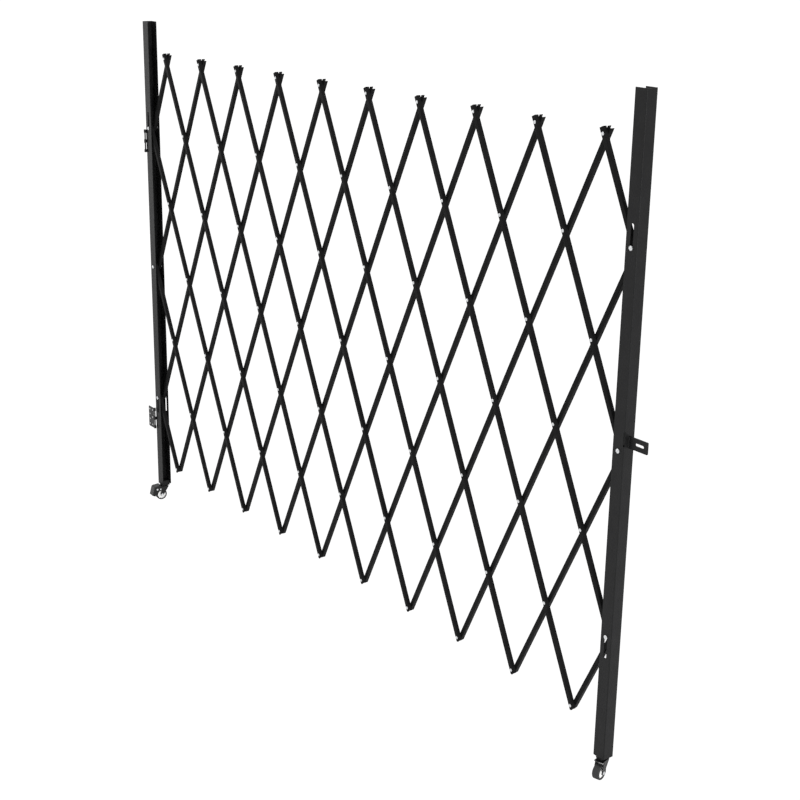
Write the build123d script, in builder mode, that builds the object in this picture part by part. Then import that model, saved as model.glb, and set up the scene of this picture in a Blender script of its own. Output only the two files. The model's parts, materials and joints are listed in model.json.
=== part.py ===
from build123d import *

import os
from math import asin, atan2, cos, hypot, radians, sin, tan

# Folding scissor gate of coated sheet steel, hung on two butt hinges and carried by two casters.
# Millimetres, +Z up. The origin is the centre of the four corner screw holes of the lower hinge's
# wall leaf, on the face that lies on the wall. +X runs along the gate to the lock post, and -Y
# points into the wall.

# Lattice: columns of pivots across, rises between the levels of pivots down
column_pitch = 229.6
level_rise = 240.0
columns = 10
rises = 6
fold_degrees = 21.0

# Lattice bars, folded channels with their flat side to the front
bar_width = 12.7
bar_depth = 11.2
bar_wall = 1.2
bar_bend_radius = 1.6
layer_gap = 1.0
top_overhang = 16.0
bottom_overhang = 12.0
post_overhang = 10.0
bar_end_rise = 3.0

# Rivets of the lattice, and the spacer tubes round them
rivet_radius = 2.5
rivet_head_radius = 4.2
rivet_head_height = 1.6
rivet_rim = 0.6
rivet_tail_radius = 3.4
rivet_tail_height = 1.8
spacer_radius = 3.6

# Pivot bolts in the posts
bolt_radius = 3.0
bolt_head_radius = 5.8
bolt_head_height = 4.0
bolt_rim = 1.6
bolt_end = 1.6
shoulder_radius = 4.5
nut_flange_radius = 7.1
nut_flange_height = 1.4
nut_height = 5.0
nut_across_flats = 10.0

# Clearances
running_clearance = 0.06
slot_clearance = 0.25
slot_end_margin = 0.6
end_play = 0.1
head_play = 0.3
fastener_slack = 0.02

# Posts, folded channels that open towards the lattice
post_depth = 33.0
post_flange = 36.0
post_wall = 1.5
post_bend_radius = 2.0
pivot_inset = 18.5
post_top_rise = 833.0
post_bottom_drop = 810.0

# Butt hinges, each with a wall leaf and a post leaf on one pin
hinge_height = 76.0
wall_leaf_reach = 42.0
post_leaf_back_margin = 0.8
leaf_thickness = 1.6
leaf_gap = 0.8
leaf_corner_radius = 3.0
knuckle_radius = 4.0
knuckle_notch = 1.4
end_knuckle_length = 10.0
middle_knuckle_length = 11.0
hinge_pin_radius = 2.4
hinge_pin_head_radius = 3.4
hinge_pin_head_height = 1.0
pin_ahead_of_post = 3.6
lower_hinge_drop = 562.0
upper_hinge_rise = 435.5

# Screw holes of a wall leaf: four in the outer column, three in the inner one
leaf_hole_radius = 2.75
leaf_sink_share = 0.75
leaf_sink_degrees = 82.0
leaf_hole_margin = 7.0
hole_column_spacing = 19.5
corner_hole_rise = 27.5
middle_hole_rise = 9.2

# Rivets that fix a post leaf to its post
leaf_rivet_radius = 2.5
leaf_rivet_tail_radius = 4.0
leaf_rivet_tail_height = 1.2
leaf_rivet_rise = 27.5
leaf_rivet_spacing = 12.0

# Lock tab with its padlock slot, and the cut-out at the lock post's front corner
tab_length = 60.0
tab_height = 30.0
tab_thickness = 3.0
tab_corner_radius = 2.5
tab_rise = 24.0
padlock_slot_length = 28.0
padlock_slot_height = 7.0
padlock_slot_inset = 34.0
cutout_height = 36.0
cutout_rise = 32.0
cutout_on_flange = 4.0
cutout_on_web = 3.0
cutout_radius = 1.5

# Caster blocks, welded between the flanges at the posts' lower ends
block_length = 20.0
block_in_post = 12.0
block_below_post = 7.0
block_edge = 1.0

# Casters: fork, tyre, hub and axle
wheel_radius = 20.0
wheel_width = 20.0
tyre_depth = 4.5
tyre_shoulder = 3.0
hub_recess = 3.5
hub_boss_radius = 5.5
hub_side_gap = 0.5
axle_radius = 3.0
axle_head_radius = 4.6
axle_head_height = 1.8
caster_trail = 16.0
wheel_to_fork = 0.9
fork_wall = 1.8
fork_gap = 1.0
fork_front_reach = 10.0
plain_fork_rear_reach = 22.0
braked_fork_rear_reach = 36.0
fork_leg_reach = 15.0
fork_end_radius = 6.0
stem_radius = 4.0
stem_length = 18.0
left_caster_degrees = -96.0
right_caster_degrees = -74.0
floor_below_post = 58.5

# Brake of the left caster: a bent pedal on a pin whose cam meets the tyre, and its spring's pin
pedal_wall = 1.6
pedal_side_gap = 0.3
pedal_top_gap = 2.6
pedal_inner_reach = 19.6
pedal_outer_reach = 45.0
pedal_slope_drop = 2.4
pedal_tip_reach = 53.0
pedal_tip_drop = 34.5
pedal_bend_radius = 6.0
ear_radius = 4.6
ear_corner_radius = 2.0
ear_outer_reach = 43.0
ear_tip_reach = 51.0
ear_tip_drop = 32.5
ear_low_reach = 44.5
ear_low_drop = 36.0
brake_pin_reach = 34.7
brake_pin_radius = 2.2
brake_pin_head_radius = 3.4
brake_pin_head_height = 1.2
cam_radius = 4.0
cam_crown_gap = 1.4
cam_side_gap = 0.4
cam_tip_radius = 1.5
cam_tip_reach = -2.9
cam_tip_drop = 8.0
brake_boss_radius = 5.0
spring_boss_radius = 4.0
spring_pin_reach = 21.5
spring_pin_drop = 6.9
spring_pin_radius = 1.5
spring_pin_head_radius = 2.6
spring_pin_head_height = 1.0

# Angles of the lattice, and how far a pivot travels along its post per rise as the gate folds
segment = hypot(level_rise, column_pitch / 2)
open_angle = atan2(column_pitch / 2, level_rise)
folded_angle = open_angle - radians(fold_degrees)
travel_per_rise = segment * (cos(folded_angle) - cos(open_angle))

# Places along X and Y, counted from the screw holes through the pin and the hinge post's web
pin_x = wall_leaf_reach - leaf_hole_margin - hole_column_spacing / 2
pin_y = leaf_thickness + leaf_gap / 2
left_web_x = pin_x + leaf_gap / 2 + leaf_thickness
left_pivot_x = left_web_x + pivot_inset
right_pivot_x = left_pivot_x + columns * column_pitch
right_web_x = right_pivot_x + pivot_inset
front_face_y = pin_y + pin_ahead_of_post
lattice_y = front_face_y + post_depth / 2
back_face_y = front_face_y + post_depth
falling_front_y = lattice_y - layer_gap / 2 - bar_depth
rising_front_y = lattice_y + layer_gap / 2

# Heights
middle_z = lower_hinge_drop
upper_hinge_z = middle_z + upper_hinge_rise
post_top_z = middle_z + post_top_rise
post_bottom_z = middle_z - post_bottom_drop
floor_z = post_bottom_z - floor_below_post
axle_z = floor_z + wheel_radius
block_bottom_z = post_bottom_z - block_below_post
crown_top_z = block_bottom_z - fork_gap
crown_low_z = crown_top_z - fork_wall
pedal_top_z = post_bottom_z - pedal_top_gap
brake_pin_z = crown_low_z - cam_crown_gap - cam_radius
brake_pin_place = (brake_pin_reach, brake_pin_z)
spring_pin_place = (spring_pin_reach, crown_low_z - spring_pin_drop)

# Half widths of a caster, across its trail
fork_inner_half = wheel_width / 2 + wheel_to_fork
fork_outer_half = fork_inner_half + fork_wall
ear_inner_half = fork_outer_half + pedal_side_gap
ear_outer_half = ear_inner_half + pedal_wall

os.makedirs("parts", exist_ok=True)


def save(part, name):
    part.label = name
    export_step(part, f"parts/{name}.step")


def front_plane(y):
    """The plane at this Y whose own x and y run along X and Z, and whose normal is -Y."""
    return Plane.XZ.offset(-y)


# Turned pieces along Y


def headed_pin(x, z, head_y, head_radius, head_height, rim, steps):
    """A turned piece with a domed head in front, whose underside is at head_y.

    Each step is a radius and the Y where that stretch ends."""
    rise = head_height - rim
    dome_radius = (head_radius**2 + rise**2) / (2 * rise)
    half_angle = asin(head_radius / dome_radius) / 2
    apex = (x, head_y - head_height)
    crest = (x + dome_radius * sin(half_angle), apex[1] + dome_radius * (1 - cos(half_angle)))
    outline = [(x + head_radius, head_y - rim), (x + head_radius, head_y)]
    from_y = head_y
    for radius, to_y in steps:
        outline += [(x + radius, from_y), (x + radius, to_y)]
        from_y = to_y
    outline += [(x, from_y), apex]
    with BuildSketch(Plane.XY.offset(z)) as half_section:
        with BuildLine():
            ThreePointArc(apex, crest, outline[0])
            Polyline(*outline)
        make_face()
    revolve(half_section.sketch, axis=Axis((x, 0, z), (0, 1, 0)))


def tube(x, z, from_y, to_y, outer_radius, bore_radius):
    with BuildSketch(front_plane(to_y)) as ring:
        with Locations((x, z)):
            Circle(outer_radius)
            Circle(bore_radius, mode=Mode.SUBTRACT)
    extrude(ring.sketch, amount=to_y - from_y)


# Lattice places. A falling bar goes down to the right and a rising bar down to the left, and a
# bar's index is the column of its tip at the top or at the bottom.


def pivot_x(column):
    return left_pivot_x + column * column_pitch


def level_z(level):
    return middle_z + (rises / 2 - level) * level_rise


def falling_column(index, level):
    return index - 1 / 2 + level / 2


def rising_column(index, level):
    return falling_column(index, rises - level)


def falling_levels(index):
    return max(0, 1 - 2 * index), min(rises, 2 * columns + 1 - 2 * index)


def rising_levels(index):
    first, last = falling_levels(index)
    return rises - last, rises - first


def bar_indices():
    everything = range(1 - rises, columns + rises)
    return [index for index in everything if falling_levels(index)[0] < falling_levels(index)[1]]


def at_post(column):
    return column in (0, columns)


def lattice_bar(places, first_level, last_level, front_y, slack):
    """One bar through its places, pairs of a column and a level, with square top tips.

    Its other ends are arcs that stand out by bar_end_rise, and its holes are wider than the
    shanks by slack."""
    points = [Vector(pivot_x(column), front_y, level_z(level)) for column, level in places]
    run = points[-1] - points[0]
    along = run.normalized()
    across = along.cross(Vector(0, 1, 0)) * -1
    before = post_overhang if first_level else top_overhang
    after = bottom_overhang if last_level == rises else post_overhang
    start = points[0] - along * before
    length = before + run.length + after
    half = bar_width / 2
    low = bar_end_rise if first_level else 0
    high = length - bar_end_rise
    with BuildPart() as bar:
        with BuildSketch(Plane(origin=start, x_dir=across, z_dir=along)) as section:
            Rectangle(bar_width, bar_depth, align=(Align.CENTER, Align.MIN))
            fillet(section.vertices().group_by(Axis.Y)[0], bar_bend_radius)
            with Locations((0, bar_wall)):
                Rectangle(
                    bar_width - 2 * bar_wall,
                    bar_depth,
                    align=(Align.CENTER, Align.MIN),
                    mode=Mode.SUBTRACT,
                )
        extrude(amount=length)
        with BuildSketch(Plane(origin=start, x_dir=along, z_dir=(0, 1, 0))):
            with BuildLine():
                ThreePointArc((high, -half), (length, 0), (high, half))
                Polyline((high, half), (low, half))
                if first_level:
                    ThreePointArc((low, half), (0, 0), (low, -half))
                else:
                    Polyline((low, half), (low, -half))
                Polyline((low, -half), (high, -half))
            make_face()
        extrude(amount=bar_depth, mode=Mode.INTERSECT)
        with BuildSketch(front_plane(front_y)):
            for (column, _), point in zip(places, points):
                with Locations((point.X, point.Z)):
                    Circle((bolt_radius if at_post(column) else rivet_radius) + slack)
        extrude(amount=bar_wall, both=True, mode=Mode.SUBTRACT)
    return bar.part


def lattice_rivet(x, z):
    """A rivet through both layers, and the spacer tube inside the front bar."""
    tail_y = rising_front_y + bar_wall + end_play
    headed_pin(
        x,
        z,
        falling_front_y,
        rivet_head_radius,
        rivet_head_height,
        rivet_rim,
        [(rivet_radius, tail_y), (rivet_tail_radius, tail_y + rivet_tail_height)],
    )
    spacer_y = falling_front_y + bar_wall
    tube(x, z, spacer_y, rising_front_y - end_play, spacer_radius, rivet_radius + fastener_slack)


def post_bolt(x, z):
    """A shoulder bolt through a post, with its spacer, its two rear sleeves and its flange nut."""
    nut_y = back_face_y + head_play
    end_y = nut_y + nut_height + bolt_end
    headed_pin(
        x,
        z,
        front_face_y - head_play,
        bolt_head_radius,
        bolt_head_height,
        bolt_rim,
        [(shoulder_radius, falling_front_y), (bolt_radius, end_y)],
    )
    bore = bolt_radius + fastener_slack
    spacer_y = falling_front_y + bar_wall
    sleeve_y = rising_front_y + bar_wall + end_play
    rear_y = rising_front_y + bar_depth + end_play
    tube(x, z, spacer_y, rising_front_y - end_play, spacer_radius, bore)
    tube(x, z, sleeve_y, rear_y, spacer_radius, bore)
    tube(x, z, rear_y, nut_y - fastener_slack, shoulder_radius, bore)
    tube(x, z, nut_y, nut_y + nut_flange_height, nut_flange_radius, bore)
    with BuildSketch(front_plane(nut_y + nut_height)) as hexagon:
        with Locations((x, z)):
            RegularPolygon(nut_across_flats / 2, side_count=6, major_radius=False)
            Circle(bore, mode=Mode.SUBTRACT)
    extrude(hexagon.sketch, amount=nut_height)


# Pieces of the posts


def channel_post(x, opens):
    """A post with its pivots at x, whose open side faces opens, +1 or -1, along X."""
    web_x = x - opens * pivot_inset
    web_side = 0 if opens > 0 else -1
    height = post_top_z - post_bottom_z
    with BuildSketch(Plane.XY.offset(post_bottom_z)) as outside:
        with Locations((web_x + opens * post_flange / 2, lattice_y)):
            Rectangle(post_flange, post_depth)
        fillet(outside.vertices().group_by(Axis.X)[web_side], post_bend_radius)
    extrude(outside.sketch, amount=height)
    with BuildSketch(Plane.XY.offset(post_bottom_z)) as inside:
        with Locations((web_x + opens * (post_wall + post_flange / 2), lattice_y)):
            Rectangle(post_flange, post_depth - 2 * post_wall)
        fillet(inside.vertices().group_by(Axis.X)[web_side], post_bend_radius - post_wall)
    extrude(inside.sketch, amount=height, mode=Mode.SUBTRACT)
    with BuildSketch(front_plane(lattice_y)) as slots:
        for level in range(1, rises, 2):
            rises_up = rises / 2 - level
            travel = travel_per_rise * abs(rises_up)
            if travel == 0:
                with Locations((x, level_z(level))):
                    Circle(shoulder_radius + running_clearance)
            else:
                middle = level_z(level) + travel_per_rise * rises_up / 2
                width = 2 * (shoulder_radius + slot_clearance)
                with Locations((x, middle)):
                    SlotCenterToCenter(travel + 2 * slot_end_margin, width, rotation=90)
    extrude(slots.sketch, amount=post_depth, both=True, mode=Mode.SUBTRACT)


def leaf_rivet_places():
    """Where the post leaves' rivets go through the web, as pairs of Y and Z."""
    return [
        (lattice_y + side * leaf_rivet_spacing / 2, hinge_z + up * leaf_rivet_rise)
        for hinge_z in (0, upper_hinge_z)
        for side in (-1, 1)
        for up in (-1, 1)
    ]


def channel_middle(x, opens):
    """The X half way along a post's flanges, where its caster's stem stands."""
    return x + opens * (post_flange / 2 - pivot_inset)


def caster_block(x, opens):
    """A block between a post's flanges, with the bore that the caster's stem turns in."""
    centre_x = channel_middle(x, opens)
    with BuildPart() as block:
        with BuildSketch(Plane.XY.offset(block_bottom_z)):
            with Locations((centre_x, lattice_y)):
                Rectangle(block_length, post_depth - 2 * post_wall)
        extrude(amount=block_below_post + block_in_post)
        chamfer(block.faces().sort_by(Axis.Z)[0].edges(), block_edge)
        with Locations(Plane(origin=(centre_x, lattice_y, block_bottom_z), z_dir=(0, 0, -1))):
            Hole(stem_radius + running_clearance, depth=stem_length + end_play)
    return block.part


# Posts

with BuildPart() as left_post:
    channel_post(left_pivot_x, 1)
    with BuildSketch(Plane.YZ.offset(left_web_x)):
        with Locations(*leaf_rivet_places()):
            Circle(leaf_rivet_radius)
    extrude(amount=post_wall, both=True, mode=Mode.SUBTRACT)
save(left_post.part, "left_post")

with BuildPart() as right_post:
    channel_post(right_pivot_x, -1)
    with BuildSketch(front_plane(front_face_y)):
        with Locations((right_web_x, middle_z + cutout_rise)):
            RectangleRounded(2 * cutout_on_flange, cutout_height, cutout_radius)
    extrude(amount=-post_bend_radius, mode=Mode.SUBTRACT)
    with BuildSketch(Plane.YZ.offset(right_web_x)):
        with Locations((front_face_y, middle_z + cutout_rise)):
            RectangleRounded(2 * cutout_on_web, cutout_height, cutout_radius)
    extrude(amount=-post_bend_radius, mode=Mode.SUBTRACT)
save(right_post.part, "right_post")

with BuildPart() as lock_tab:
    with BuildSketch(front_plane(lattice_y + tab_thickness / 2)) as tab:
        with Locations((right_web_x, middle_z + tab_rise)):
            Rectangle(tab_length, tab_height, align=(Align.MIN, Align.CENTER))
        fillet(tab.vertices().group_by(Axis.X)[-1], tab_corner_radius)
        with Locations((right_web_x + padlock_slot_inset, middle_z + tab_rise)):
            SlotOverall(padlock_slot_length, padlock_slot_height, mode=Mode.SUBTRACT)
    extrude(amount=tab_thickness)
save(lock_tab.part, "lock_tab")

save(caster_block(left_pivot_x, 1), "left_caster_block")
save(caster_block(right_pivot_x, -1), "right_caster_block")

# Lattice

for number, index in enumerate(bar_indices(), start=1):
    first, last = falling_levels(index)
    places = [(falling_column(index, level), level) for level in range(first, last + 1)]
    save(lattice_bar(places, first, last, falling_front_y, 0), f"falling_bar_{number:02d}")
    with BuildPart() as pivots:
        for column, level in places:
            if at_post(column):
                post_bolt(pivot_x(column), level_z(level))
            else:
                lattice_rivet(pivot_x(column), level_z(level))
    save(pivots.part, f"falling_pivots_{number:02d}")
    first, last = rising_levels(index)
    places = [(rising_column(index, level), level) for level in range(first, last + 1)]
    rising_bar = lattice_bar(places, first, last, rising_front_y, running_clearance)
    save(rising_bar, f"rising_bar_{number:02d}")

# Hinges

end_knuckles = [
    (-hinge_height / 2, end_knuckle_length - hinge_height / 2),
    (hinge_height / 2 - end_knuckle_length, hinge_height / 2),
]
middle_knuckles = [(-middle_knuckle_length / 2, middle_knuckle_length / 2)]
outer_hole_reach = wall_leaf_reach - leaf_hole_margin
inner_hole_reach = outer_hole_reach - hole_column_spacing
outer_hole_rises = (-corner_hole_rise, -middle_hole_rise, middle_hole_rise, corner_hole_rise)
wall_holes = [(outer_hole_reach, up) for up in outer_hole_rises]
wall_holes += [(inner_hole_reach, up) for up in (-corner_hole_rise, 0, corner_hole_rise)]


def hinge_leaf(pin_place, points_to, side, reach, knuckles, bore_radius):
    """A leaf that reaches from the pin along points_to, on the pin's side that side names.

    knuckles are pairs of a low and a high height, counted from the hinge's middle, and are the
    same upside down."""
    gap_face = Plane(origin=pin_place + side * (leaf_gap / 2), x_dir=points_to, z_dir=side)
    notch = knuckle_radius + knuckle_notch
    with BuildSketch(gap_face) as leaf:
        with Locations((notch, 0)):
            Rectangle(reach - notch, hinge_height, align=(Align.MIN, Align.CENTER))
        fillet(leaf.vertices().group_by(Axis.X)[-1], leaf_corner_radius)
        for low, high in knuckles:
            with Locations((0, (low + high) / 2)):
                Rectangle(notch, high - low, align=(Align.MIN, Align.CENTER))
    extrude(leaf.sketch, amount=leaf_thickness)
    for low, high in knuckles:
        with BuildSketch(Plane.XY.offset(pin_place.Z + low)) as knuckle:
            with Locations((pin_place.X, pin_place.Y)):
                Circle(knuckle_radius)
        extrude(knuckle.sketch, amount=high - low)
    with BuildSketch(Plane.XY.offset(pin_place.Z)) as bore:
        with Locations((pin_place.X, pin_place.Y)):
            Circle(bore_radius)
    extrude(bore.sketch, amount=hinge_height, both=True, mode=Mode.SUBTRACT)


def wall_leaf(pin_place, points_to, side):
    """A wall leaf with end knuckles, whose screw holes are sunk from the gap between the leaves."""
    with BuildPart() as leaf:
        bore_radius = hinge_pin_radius + running_clearance
        hinge_leaf(pin_place, points_to, side, wall_leaf_reach, end_knuckles, bore_radius)
        mouth = Plane(origin=pin_place + side * (leaf_gap / 2), x_dir=points_to, z_dir=side * -1)
        sink_depth = leaf_thickness * leaf_sink_share
        sink_radius = leaf_hole_radius + sink_depth * tan(radians(leaf_sink_degrees / 2))
        with Locations(mouth):
            with Locations(*wall_holes):
                CounterSinkHole(
                    leaf_hole_radius,
                    sink_radius,
                    depth=leaf_thickness,
                    counter_sink_angle=leaf_sink_degrees,
                )
    return leaf.part


lower_pin = Vector(pin_x, pin_y, 0)
upper_pin = Vector(pin_x, pin_y, upper_hinge_z)
left = Vector(-1, 0, 0)
right = Vector(1, 0, 0)
front = Vector(0, -1, 0)
back = Vector(0, 1, 0)

save(wall_leaf(lower_pin, left, front), "lower_wall_leaf")
save(wall_leaf(upper_pin, back, left), "upper_wall_leaf")

post_leaf_reach = back_face_y - pin_y - post_leaf_back_margin
with BuildPart() as post_leaves:
    for place in (lower_pin, upper_pin):
        hinge_leaf(place, back, right, post_leaf_reach, middle_knuckles, hinge_pin_radius)
    with BuildSketch(Plane.YZ.offset(left_web_x)):
        with Locations(*leaf_rivet_places()):
            Circle(leaf_rivet_radius)
    extrude(amount=-leaf_thickness, mode=Mode.SUBTRACT)
save(post_leaves.part, "hinge_post_leaves")

with BuildPart() as leaf_rivets:
    with BuildSketch(Plane.YZ.offset(left_web_x - leaf_thickness)):
        with Locations(*leaf_rivet_places()):
            Circle(leaf_rivet_radius)
    extrude(amount=leaf_thickness + post_wall)
    with BuildSketch(Plane.YZ.offset(left_web_x + post_wall)):
        with Locations(*leaf_rivet_places()):
            Circle(leaf_rivet_tail_radius)
    extrude(amount=leaf_rivet_tail_height)
save(leaf_rivets.part, "hinge_rivets")

with BuildPart() as hinge_pins:
    for place in (lower_pin, upper_pin):
        low_z = place.Z - hinge_height / 2
        with BuildSketch(Plane.XY.offset(low_z)):
            with Locations((place.X, place.Y)):
                Circle(hinge_pin_radius)
        extrude(amount=hinge_height + end_play)
        with BuildSketch(Plane.XY.offset(low_z + hinge_height + end_play)):
            with Locations((place.X, place.Y)):
                Circle(hinge_pin_head_radius)
        extrude(amount=hinge_pin_head_height)
save(hinge_pins.part, "hinge_pins")

# Casters


def caster_plane(x, opens, degrees_of_trail):
    """The upright plane along a caster's trail: its x is the reach from the stem, its y is Z."""
    turn = radians(degrees_of_trail)
    return Plane(
        origin=(channel_middle(x, opens), lattice_y, 0),
        x_dir=(cos(turn), sin(turn), 0),
        z_dir=(sin(turn), -cos(turn), 0),
    )


def disc(plane, place, radius, half_width, mode=Mode.ADD):
    with BuildSketch(plane) as circle:
        with Locations(place):
            Circle(radius)
    extrude(circle.sketch, amount=half_width, both=True, mode=mode)


def heads(plane, place, radius, from_half, height):
    """A pin's two heads, one on each side of what it goes through."""
    for side in (-1, 1):
        with BuildSketch(plane.offset(side * from_half)) as circle:
            with Locations(place):
                Circle(radius)
        extrude(circle.sketch, amount=side * height)


def fork_plate(plane, from_reach, to_reach, circles):
    """The hull of a stretch of the crown and of circles, pairs of a place and a radius."""
    with BuildSketch(plane) as outline:
        with Locations((from_reach, crown_low_z)):
            Rectangle(to_reach - from_reach, fork_wall, align=(Align.MIN, Align.MIN))
        for place, radius in circles:
            with Locations(place):
                Circle(radius)
        make_hull()
    extrude(outline.sketch, amount=fork_outer_half, both=True)


def caster(side, plane, rear_reach, braked):
    axle_place = (caster_trail, axle_z)
    with BuildPart() as fork:
        fork_plate(plane, -fork_front_reach, rear_reach, [])
        fork_plate(plane, -fork_front_reach, fork_leg_reach, [(axle_place, fork_end_radius)])
        if braked:
            bosses = [(spring_pin_place, spring_boss_radius), (brake_pin_place, brake_boss_radius)]
            fork_plate(plane, 0, rear_reach, bosses)
        with BuildSketch(plane):
            with Locations((caster_trail, (crown_low_z + floor_z) / 2)):
                Rectangle(2 * (fork_front_reach + rear_reach), crown_low_z - floor_z)
        extrude(amount=fork_inner_half, both=True, mode=Mode.SUBTRACT)
        disc(plane, axle_place, axle_radius, fork_outer_half, Mode.SUBTRACT)
        if braked:
            hole_radius = brake_pin_radius + running_clearance
            disc(plane, brake_pin_place, hole_radius, fork_outer_half, Mode.SUBTRACT)
            disc(plane, spring_pin_place, spring_pin_radius, fork_outer_half, Mode.SUBTRACT)
        with BuildSketch(Plane(origin=plane.origin + Vector(0, 0, crown_top_z), z_dir=(0, 0, 1))):
            Circle(stem_radius)
        extrude(amount=fork_gap + stem_length)
    save(fork.part, f"{side}_fork")
    with BuildPart() as tyre:
        disc(plane, axle_place, wheel_radius, wheel_width / 2)
        fillet(tyre.edges().filter_by(GeomType.CIRCLE), tyre_shoulder)
        disc(plane, axle_place, wheel_radius - tyre_depth, wheel_width / 2, Mode.SUBTRACT)
    save(tyre.part, f"{side}_tyre")
    with BuildPart() as hub:
        disc(plane, axle_place, wheel_radius - tyre_depth, wheel_width / 2 - hub_recess)
        disc(plane, axle_place, hub_boss_radius, fork_inner_half - hub_side_gap)
        disc(plane, axle_place, axle_radius + running_clearance, fork_inner_half, Mode.SUBTRACT)
    save(hub.part, f"{side}_hub")
    with BuildPart() as axle:
        disc(plane, axle_place, axle_radius, fork_outer_half)
        heads(plane, axle_place, axle_head_radius, fork_outer_half, axle_head_height)
    save(axle.part, f"{side}_axle")


left_plane = caster_plane(left_pivot_x, 1, left_caster_degrees)
right_plane = caster_plane(right_pivot_x, -1, right_caster_degrees)
caster("left", left_plane, braked_fork_rear_reach, True)
caster("right", right_plane, plain_fork_rear_reach, False)

# Brake

hood_line = [
    (pedal_inner_reach, pedal_top_z - pedal_wall / 2),
    (pedal_outer_reach, pedal_top_z - pedal_wall / 2 - pedal_slope_drop),
    (pedal_tip_reach, pedal_top_z - pedal_tip_drop),
]
ear_corners = [
    (pedal_inner_reach + ear_corner_radius, pedal_top_z - ear_corner_radius),
    (ear_outer_reach - ear_corner_radius, pedal_top_z - pedal_slope_drop - ear_corner_radius),
    (ear_tip_reach, pedal_top_z - ear_tip_drop),
    (ear_low_reach, pedal_top_z - ear_low_drop),
]

with BuildPart() as brake_pedal:
    with BuildSketch(left_plane):
        with Locations(brake_pin_place):
            Circle(ear_radius)
        with Locations(*ear_corners):
            Circle(ear_corner_radius)
        make_hull()
    extrude(amount=ear_outer_half, both=True)
    with BuildSketch(left_plane):
        with Locations((pedal_inner_reach, pedal_top_z)):
            Rectangle(2 * pedal_tip_reach, 2 * pedal_tip_drop)
    extrude(amount=ear_inner_half, both=True, mode=Mode.SUBTRACT)
    with BuildSketch(left_plane):
        with BuildLine():
            FilletPolyline(*hood_line, radius=pedal_bend_radius)
        trace(line_width=pedal_wall)
    extrude(amount=ear_outer_half, both=True)
    disc(left_plane, brake_pin_place, brake_pin_radius, ear_outer_half, Mode.SUBTRACT)
save(brake_pedal.part, "left_brake_pedal")

with BuildPart() as spring_pin:
    disc(left_plane, spring_pin_place, spring_pin_radius, fork_outer_half)
    heads(
        left_plane,
        spring_pin_place,
        spring_pin_head_radius,
        fork_outer_half,
        spring_pin_head_height,
    )
save(spring_pin.part, "left_spring_pin")

with BuildPart() as brake_cam:
    with BuildSketch(left_plane):
        with Locations(brake_pin_place):
            Circle(cam_radius)
        with Locations((brake_pin_reach + cam_tip_reach, brake_pin_z - cam_tip_drop)):
            Circle(cam_tip_radius)
        make_hull()
    extrude(amount=fork_inner_half - cam_side_gap, both=True)
    disc(left_plane, brake_pin_place, brake_pin_radius, ear_outer_half)
    heads(left_plane, brake_pin_place, brake_pin_head_radius, ear_outer_half, brake_pin_head_height)
save(brake_cam.part, "left_brake_cam")
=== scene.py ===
import json
from math import cos, pi, sin

import bmesh
import bpy
from mathutils import Matrix, Vector


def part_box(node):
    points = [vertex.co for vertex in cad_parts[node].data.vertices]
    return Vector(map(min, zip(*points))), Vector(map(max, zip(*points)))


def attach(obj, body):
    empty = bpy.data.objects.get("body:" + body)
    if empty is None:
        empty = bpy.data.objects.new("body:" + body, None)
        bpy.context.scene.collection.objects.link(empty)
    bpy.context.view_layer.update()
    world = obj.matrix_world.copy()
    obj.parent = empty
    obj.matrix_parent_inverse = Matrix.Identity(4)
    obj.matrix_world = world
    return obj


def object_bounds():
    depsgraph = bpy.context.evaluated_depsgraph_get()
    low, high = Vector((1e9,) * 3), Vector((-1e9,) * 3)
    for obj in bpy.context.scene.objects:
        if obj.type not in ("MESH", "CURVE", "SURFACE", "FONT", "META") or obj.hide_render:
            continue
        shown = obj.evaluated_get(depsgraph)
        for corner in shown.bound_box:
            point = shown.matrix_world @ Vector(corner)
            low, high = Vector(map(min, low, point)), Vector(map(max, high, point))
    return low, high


# Looks of a folding scissor gate: coated steel, zinc fasteners, casters. Metres, in the part's frame.

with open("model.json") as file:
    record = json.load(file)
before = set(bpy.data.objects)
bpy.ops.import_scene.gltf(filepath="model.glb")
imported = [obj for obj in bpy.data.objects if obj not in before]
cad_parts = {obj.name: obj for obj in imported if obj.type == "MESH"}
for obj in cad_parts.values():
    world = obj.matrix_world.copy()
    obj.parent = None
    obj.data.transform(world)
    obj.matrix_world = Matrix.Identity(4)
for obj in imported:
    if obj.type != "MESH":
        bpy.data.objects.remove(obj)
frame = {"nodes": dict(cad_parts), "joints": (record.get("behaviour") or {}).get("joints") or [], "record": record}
cad_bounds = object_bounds()
nodes = frame["nodes"]
joints = {joint["name"]: joint for joint in frame["joints"]}

# Camera: where the photograph was taken from, and the way it looks

camera_place = Vector((4.6695, -2.3788, 1.7313))
camera_right = Vector((0.59611, 0.80273, 0.01645))
camera_down = Vector((0.25412, -0.16919, -0.95226))
focal_in_image_widths = 1500.77 / 800
sensor_width = 36.0
nearest_seen = 0.05
farthest_seen = 200


def make_camera():
    data = bpy.data.cameras.new("camera")
    data.sensor_width = sensor_width
    data.lens = focal_in_image_widths * sensor_width
    data.clip_start = nearest_seen
    data.clip_end = farthest_seen
    camera = bpy.data.objects.new("camera", data)
    right = camera_right.normalized()
    up = (-camera_down - right * right.dot(-camera_down)).normalized()
    back = right.cross(up)
    axes = Matrix((right, up, back)).transposed()
    camera.matrix_world = Matrix.Translation(camera_place) @ axes.to_4x4()
    bpy.context.collection.objects.link(camera)
    bpy.context.scene.camera = camera


# Materials: a noise's scale is in features per metre, and a bump's distance in metres

edge_width = 0.0006
edge_gain = 1.7
edge_lift = 0.006
cloud_share = 0.82
bloom_gain = 1.8
flow_share = 0.93


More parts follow.
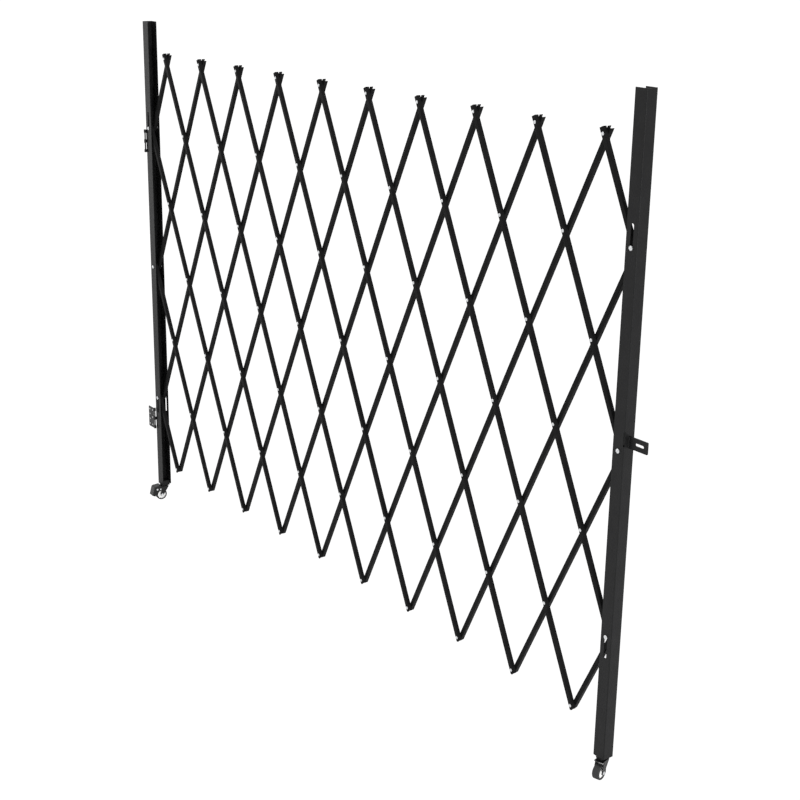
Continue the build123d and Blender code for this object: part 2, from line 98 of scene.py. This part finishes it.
class Surface:
    """A Principled material and short calls for the nodes that vary it."""

    def __init__(self, name, **values):
        self.material = bpy.data.materials.new(name)
        self.material.use_nodes = True
        self.tree = self.material.node_tree
        self.shader = self.tree.nodes["Principled BSDF"]
        for socket, value in values.items():
            self.shader.inputs[socket.replace("_", " ")].default_value = value
        self.place = self.tree.nodes.new("ShaderNodeTexCoord").outputs["Object"]

    def noise(self, scale, detail=3.0, roughness=0.5, stretch=(1, 1, 1)):
        """Smooth noise over the surface, whose features are about 1 / scale metres wide."""
        mapping = self.tree.nodes.new("ShaderNodeMapping")
        mapping.inputs["Scale"].default_value = stretch
        self.tree.links.new(self.place, mapping.inputs["Vector"])
        node = self.tree.nodes.new("ShaderNodeTexNoise")
        node.inputs["Scale"].default_value = scale
        node.inputs["Detail"].default_value = detail
        node.inputs["Roughness"].default_value = roughness
        self.tree.links.new(mapping.outputs["Vector"], node.inputs["Vector"])
        return node.outputs["Fac"]

    def spread(self, source, low, high, to_low, to_high):
        """The source's span from low to high, spread over to_low to to_high."""
        node = self.tree.nodes.new("ShaderNodeMapRange")
        node.inputs["From Min"].default_value = low
        node.inputs["From Max"].default_value = high
        node.inputs["To Min"].default_value = to_low
        node.inputs["To Max"].default_value = to_high
        self.tree.links.new(source, node.inputs["Value"])
        return node.outputs["Result"]

    def mix(self, factor, first, second):
        node = self.tree.nodes.new("ShaderNodeMix")
        node.data_type = "RGBA"
        sockets = [socket for socket in node.inputs if socket.type == "RGBA"]
        for socket, value in zip(sockets, (first, second)):
            if hasattr(value, "is_output"):
                self.tree.links.new(value, socket)
            else:
                socket.default_value = (*value, 1.0)
        self.tree.links.new(factor, node.inputs["Factor"])
        return [socket for socket in node.outputs if socket.type == "RGBA"][0]

    def edges(self, width):
        """1 on worn edges and 0 elsewhere, from the bevel's departure from the true normal."""
        bevel = self.tree.nodes.new("ShaderNodeBevel")
        bevel.inputs["Radius"].default_value = width
        geometry = self.tree.nodes.new("ShaderNodeNewGeometry")
        dot = self.tree.nodes.new("ShaderNodeVectorMath")
        dot.operation = "DOT_PRODUCT"
        self.tree.links.new(bevel.outputs["Normal"], dot.inputs[0])
        self.tree.links.new(geometry.outputs["Normal"], dot.inputs[1])
        return self.spread(dot.outputs["Value"], 0.97, 0.80, 0.0, 1.0)

    def bump(self, height, distance):
        node = self.tree.nodes.new("ShaderNodeBump")
        node.inputs["Distance"].default_value = distance
        node.inputs["Strength"].default_value = 1.0
        self.tree.links.new(height, node.inputs["Height"])
        self.tree.links.new(node.outputs["Normal"], self.shader.inputs["Normal"])

    def shine_for_camera(self, strength):
        """White light where the camera looks straight at it, and the material elsewhere."""
        glow = self.tree.nodes.new("ShaderNodeEmission")
        glow.inputs["Strength"].default_value = strength
        seen = self.tree.nodes.new("ShaderNodeLightPath").outputs["Is Camera Ray"]
        either = self.tree.nodes.new("ShaderNodeMixShader")
        self.tree.links.new(seen, either.inputs["Fac"])
        self.tree.links.new(self.shader.outputs["BSDF"], either.inputs[1])
        self.tree.links.new(glow.outputs["Emission"], either.inputs[2])
        output = self.tree.nodes["Material Output"]
        self.tree.links.new(either.outputs["Shader"], output.inputs["Surface"])

    def link(self, source, socket):
        self.tree.links.new(source, self.shader.inputs[socket])


def coat(name, colour, paler, roughness, gloss):
    """Powder coat: fine orange peel, patches of thicker coat and slightly polished edges."""
    surface = Surface(name, IOR=1.5, Specular_IOR_Level=gloss)
    patches = surface.spread(surface.noise(35.0), 0.35, 0.65, 0.0, 1.0)
    base = surface.mix(patches, colour, paler)
    worn = [channel * edge_gain + edge_lift for channel in colour]
    surface.link(surface.mix(surface.edges(edge_width), base, worn), "Base Color")
    grain = surface.noise(900.0, detail=2.0)
    surface.link(surface.spread(grain, 0.3, 0.7, roughness - 0.05, roughness + 0.06), "Roughness")
    surface.bump(surface.noise(1400.0, detail=1.0), 0.00006)
    return surface.material


def zinc(name, colour, roughness):
    """Bright zinc plate with faint clouding."""
    surface = Surface(name, Metallic=1.0)
    clouds = surface.spread(surface.noise(700.0), 0.3, 0.7, 0.0, 1.0)
    dull = [channel * cloud_share for channel in colour]
    surface.link(surface.mix(clouds, colour, dull), "Base Color")
    surface.link(surface.spread(clouds, 0.0, 1.0, roughness, roughness + 0.14), "Roughness")
    surface.bump(surface.noise(2600.0, detail=1.0), 0.00002)
    return surface.material


def rubber(name, colour):
    """Moulded rubber with a dusty bloom."""
    surface = Surface(name, IOR=1.45)
    bloom = surface.spread(surface.noise(220.0), 0.35, 0.7, 0.0, 1.0)
    dusty = [channel * bloom_gain for channel in colour]
    surface.link(surface.mix(bloom, colour, dusty), "Base Color")
    surface.link(surface.spread(bloom, 0.0, 1.0, 0.55, 0.75), "Roughness")
    surface.bump(surface.noise(1800.0, detail=2.0), 0.00005)
    return surface.material


def moulded_plastic(name, colour):
    """Moulded plastic with faint flow marks."""
    surface = Surface(name, IOR=1.46)
    flow = surface.spread(surface.noise(160.0), 0.3, 0.7, 0.0, 1.0)
    marked = [channel * flow_share for channel in colour]
    surface.link(surface.mix(flow, colour, marked), "Base Color")
    surface.link(surface.spread(flow, 0.0, 1.0, 0.32, 0.46), "Roughness")
    surface.bump(surface.noise(1500.0, detail=1.0), 0.00002)
    return surface.material


def make_materials():
    return {
        "post_coat": coat("post_coat", (0.0060, 0.0060, 0.0063), (0.0076, 0.0076, 0.0079), 0.42, 0.115),
        "bar_coat": coat("bar_coat", (0.0045, 0.0045, 0.0047), (0.0070, 0.0070, 0.0072), 0.46, 0.035),
        "hinge_steel": coat("hinge_steel", (0.007, 0.007, 0.0074), (0.010, 0.010, 0.0105), 0.42, 0.16),
        "caster_steel": coat("caster_steel", (0.005, 0.005, 0.0053), (0.007, 0.007, 0.0073), 0.36, 0.20),
        "zinc": zinc("zinc", (0.58, 0.59, 0.60), 0.26),
        "rubber": rubber("rubber", (0.009, 0.009, 0.0095)),
        "hub_plastic": moulded_plastic("hub_plastic", (0.82, 0.82, 0.81)),
    }


def dress_nodes(materials):
    for part in frame["record"]["subparts"]:
        mesh = nodes[part["node"]].data
        mesh.materials.clear()
        mesh.materials.append(materials[part["material_slot"]])
    # The rivets of the post leaves are coated together with their post
    nodes["hinge_rivets"].data.materials[0] = materials["post_coat"]


# Pieces that the solids leave out: weld beads and the mould lines round the tyres

bead_radius = 0.0016
bead_pitch = 0.0022
bead_ripple = 0.16
steps_per_pitch = 6
least_rounding = 0.25
ring_corners = 12
mould_line_height = 0.00008
mould_line_depth = 0.00035
mould_line_half_width = 0.0006
mould_line_corners = 96


def tube_mesh(name, rings, closed):
    """A skin over rings of as many points each, joined end to end where closed is true."""
    mesh_edit = bmesh.new()
    loops = [[mesh_edit.verts.new(point) for point in ring] for ring in rings]
    pairs = list(zip(loops, loops[1:]))
    if closed:
        pairs.append((loops[-1], loops[0]))
    for first, second in pairs:
        for corner in range(len(first)):
            after = (corner + 1) % len(first)
            mesh_edit.faces.new((first[corner], first[after], second[after], second[corner]))
    if not closed:
        mesh_edit.faces.new(list(reversed(loops[0])))
        mesh_edit.faces.new(loops[-1])
    bmesh.ops.recalc_face_normals(mesh_edit, faces=mesh_edit.faces)
    for face in mesh_edit.faces:
        face.smooth = True
    mesh = bpy.data.meshes.new(name)
    mesh_edit.to_mesh(mesh)
    mesh_edit.free()
    piece = bpy.data.objects.new(name, mesh)
    bpy.context.collection.objects.link(piece)
    return piece


def weld_bead(name, start, end, body, material):
    """A rippled fillet weld with rounded ends, laid in the corner from start to end."""
    run = end - start
    along = run.normalized()
    side = along.orthogonal().normalized()
    other = along.cross(side)
    steps = round(run.length / bead_pitch * steps_per_pitch)
    rings = []
    for step in range(steps + 1):
        place = run.length * step / steps
        from_end = min(place, run.length - place, bead_radius)
        rounding = max(least_rounding, 1 - (1 - from_end / bead_radius) ** 2) ** 0.5
        ripple = 1 - bead_ripple * cos(pi * place / bead_pitch) ** 2
        radius = bead_radius * rounding * ripple
        centre = start + along * place
        turns = [2 * pi * corner / ring_corners for corner in range(ring_corners)]
        rings.append([centre + (side * cos(turn) + other * sin(turn)) * radius for turn in turns])
    piece = tube_mesh(name, rings, False)
    piece.data.materials.append(material)
    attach(piece, body)


def make_welds(material):
    low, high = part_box("lock_tab")
    root_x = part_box("right_post")[1].x
    for side, y in (("front", low.y), ("back", high.y)):
        start = Vector((root_x, y, low.z + bead_radius))
        end = Vector((root_x, y, high.z - bead_radius))
        weld_bead(f"tab_weld_{side}", start, end, "lock_post", material)
    for post, body in (("left", "hinge_post"), ("right", "lock_post")):
        low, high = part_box(f"{post}_caster_block")
        foot_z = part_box(f"{post}_post")[0].z
        for side, y in (("front", low.y), ("back", high.y)):
            start = Vector((low.x + bead_radius, y, foot_z))
            end = Vector((high.x - bead_radius, y, foot_z))
            weld_bead(f"{post}_block_weld_{side}", start, end, body, material)


def make_mould_line(side, material):
    """The thin raised line that the mould's halves leave round a tyre's middle."""
    roll = joints[f"{side}_wheel_roll"]
    axle = Vector(roll["axis"]).normalized()
    up = Vector((0, 0, 1))
    ahead = up.cross(axle)
    centre = Vector(roll["pos_m"])
    low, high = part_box(f"{side}_tyre")
    tyre_radius = (high.z - low.z) / 2
    section = (
        (-mould_line_half_width, -mould_line_depth),
        (-mould_line_half_width, 0),
        (0, mould_line_height),
        (mould_line_half_width, 0),
        (mould_line_half_width, -mould_line_depth),
    )
    rings = []
    for corner in range(mould_line_corners):
        turn = 2 * pi * corner / mould_line_corners
        out = up * cos(turn) + ahead * sin(turn)
        places = [axle * across + out * (tyre_radius + height) for across, height in section]
        rings.append([centre + place for place in places])
    piece = tube_mesh(f"{side}_mould_line", rings, True)
    piece.data.materials.append(material)
    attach(piece, f"{side}_wheel")


# Floor and light

floor_colour = (0.93, 0.93, 0.93)
floor_half_size = 40.0
floor_gap = 0.0005
floor_tint_share = 0.985
studio_brightness = 1.08
gate_middle_x = 1.2

# Each light: its name, its place, where it points, its width and height, and its power in watts
lights = (
    ("key", (-0.5, -5.0, 4.5), (1.2, 0.0, 0.4), (4.0, 3.0), 40),
    ("right", (6.5, -1.0, 0.8), (2.3, 0.0, 0.9), (0.5, 0.9), 110),
    ("top", (1.2, 1.0, 5.5), (1.2, 0.0, 0.0), (5.0, 3.0), 120),
    ("left", (-5.0, -2.8, 0.9), (0.0, 0.0, 0.6), (2.0, 2.5), 34),
)


def make_floor():
    place = (gate_middle_x, 0, cad_bounds[0].z - floor_gap)
    bpy.ops.mesh.primitive_plane_add(size=2 * floor_half_size, location=place)
    floor = bpy.context.object
    floor.name = "floor"
    surface = Surface("floor", Roughness=0.9)
    tint = surface.spread(surface.noise(0.6), 0.3, 0.7, 0.0, 1.0)
    tinted = [channel * floor_tint_share for channel in floor_colour]
    surface.link(surface.mix(tint, floor_colour, tinted), "Base Color")
    surface.shine_for_camera(studio_brightness)
    floor.data.materials.append(surface.material)


def make_light(name, place, target, size, power):
    data = bpy.data.lights.new(name, "AREA")
    data.shape = "RECTANGLE"
    data.size, data.size_y = size
    data.energy = power
    light = bpy.data.objects.new(name, data)
    light.location = place
    light.rotation_mode = "QUATERNION"
    light.rotation_quaternion = (Vector(target) - Vector(place)).to_track_quat("-Z", "Y")
    bpy.context.collection.objects.link(light)


def make_world(brightness):
    world = bpy.data.worlds.new("studio")
    bpy.context.scene.world = world
    world.use_nodes = True
    background = world.node_tree.nodes["Background"]
    background.inputs["Color"].default_value = (1.0, 1.0, 1.0, 1.0)
    background.inputs["Strength"].default_value = brightness


bpy.context.scene.view_settings.view_transform = "Standard"
make_camera()
materials = make_materials()
dress_nodes(materials)
make_welds(materials["post_coat"])
for side in ("left", "right"):
    make_mould_line(side, materials["rubber"])
make_floor()
make_world(studio_brightness)
for light in lights:
    make_light(*light)
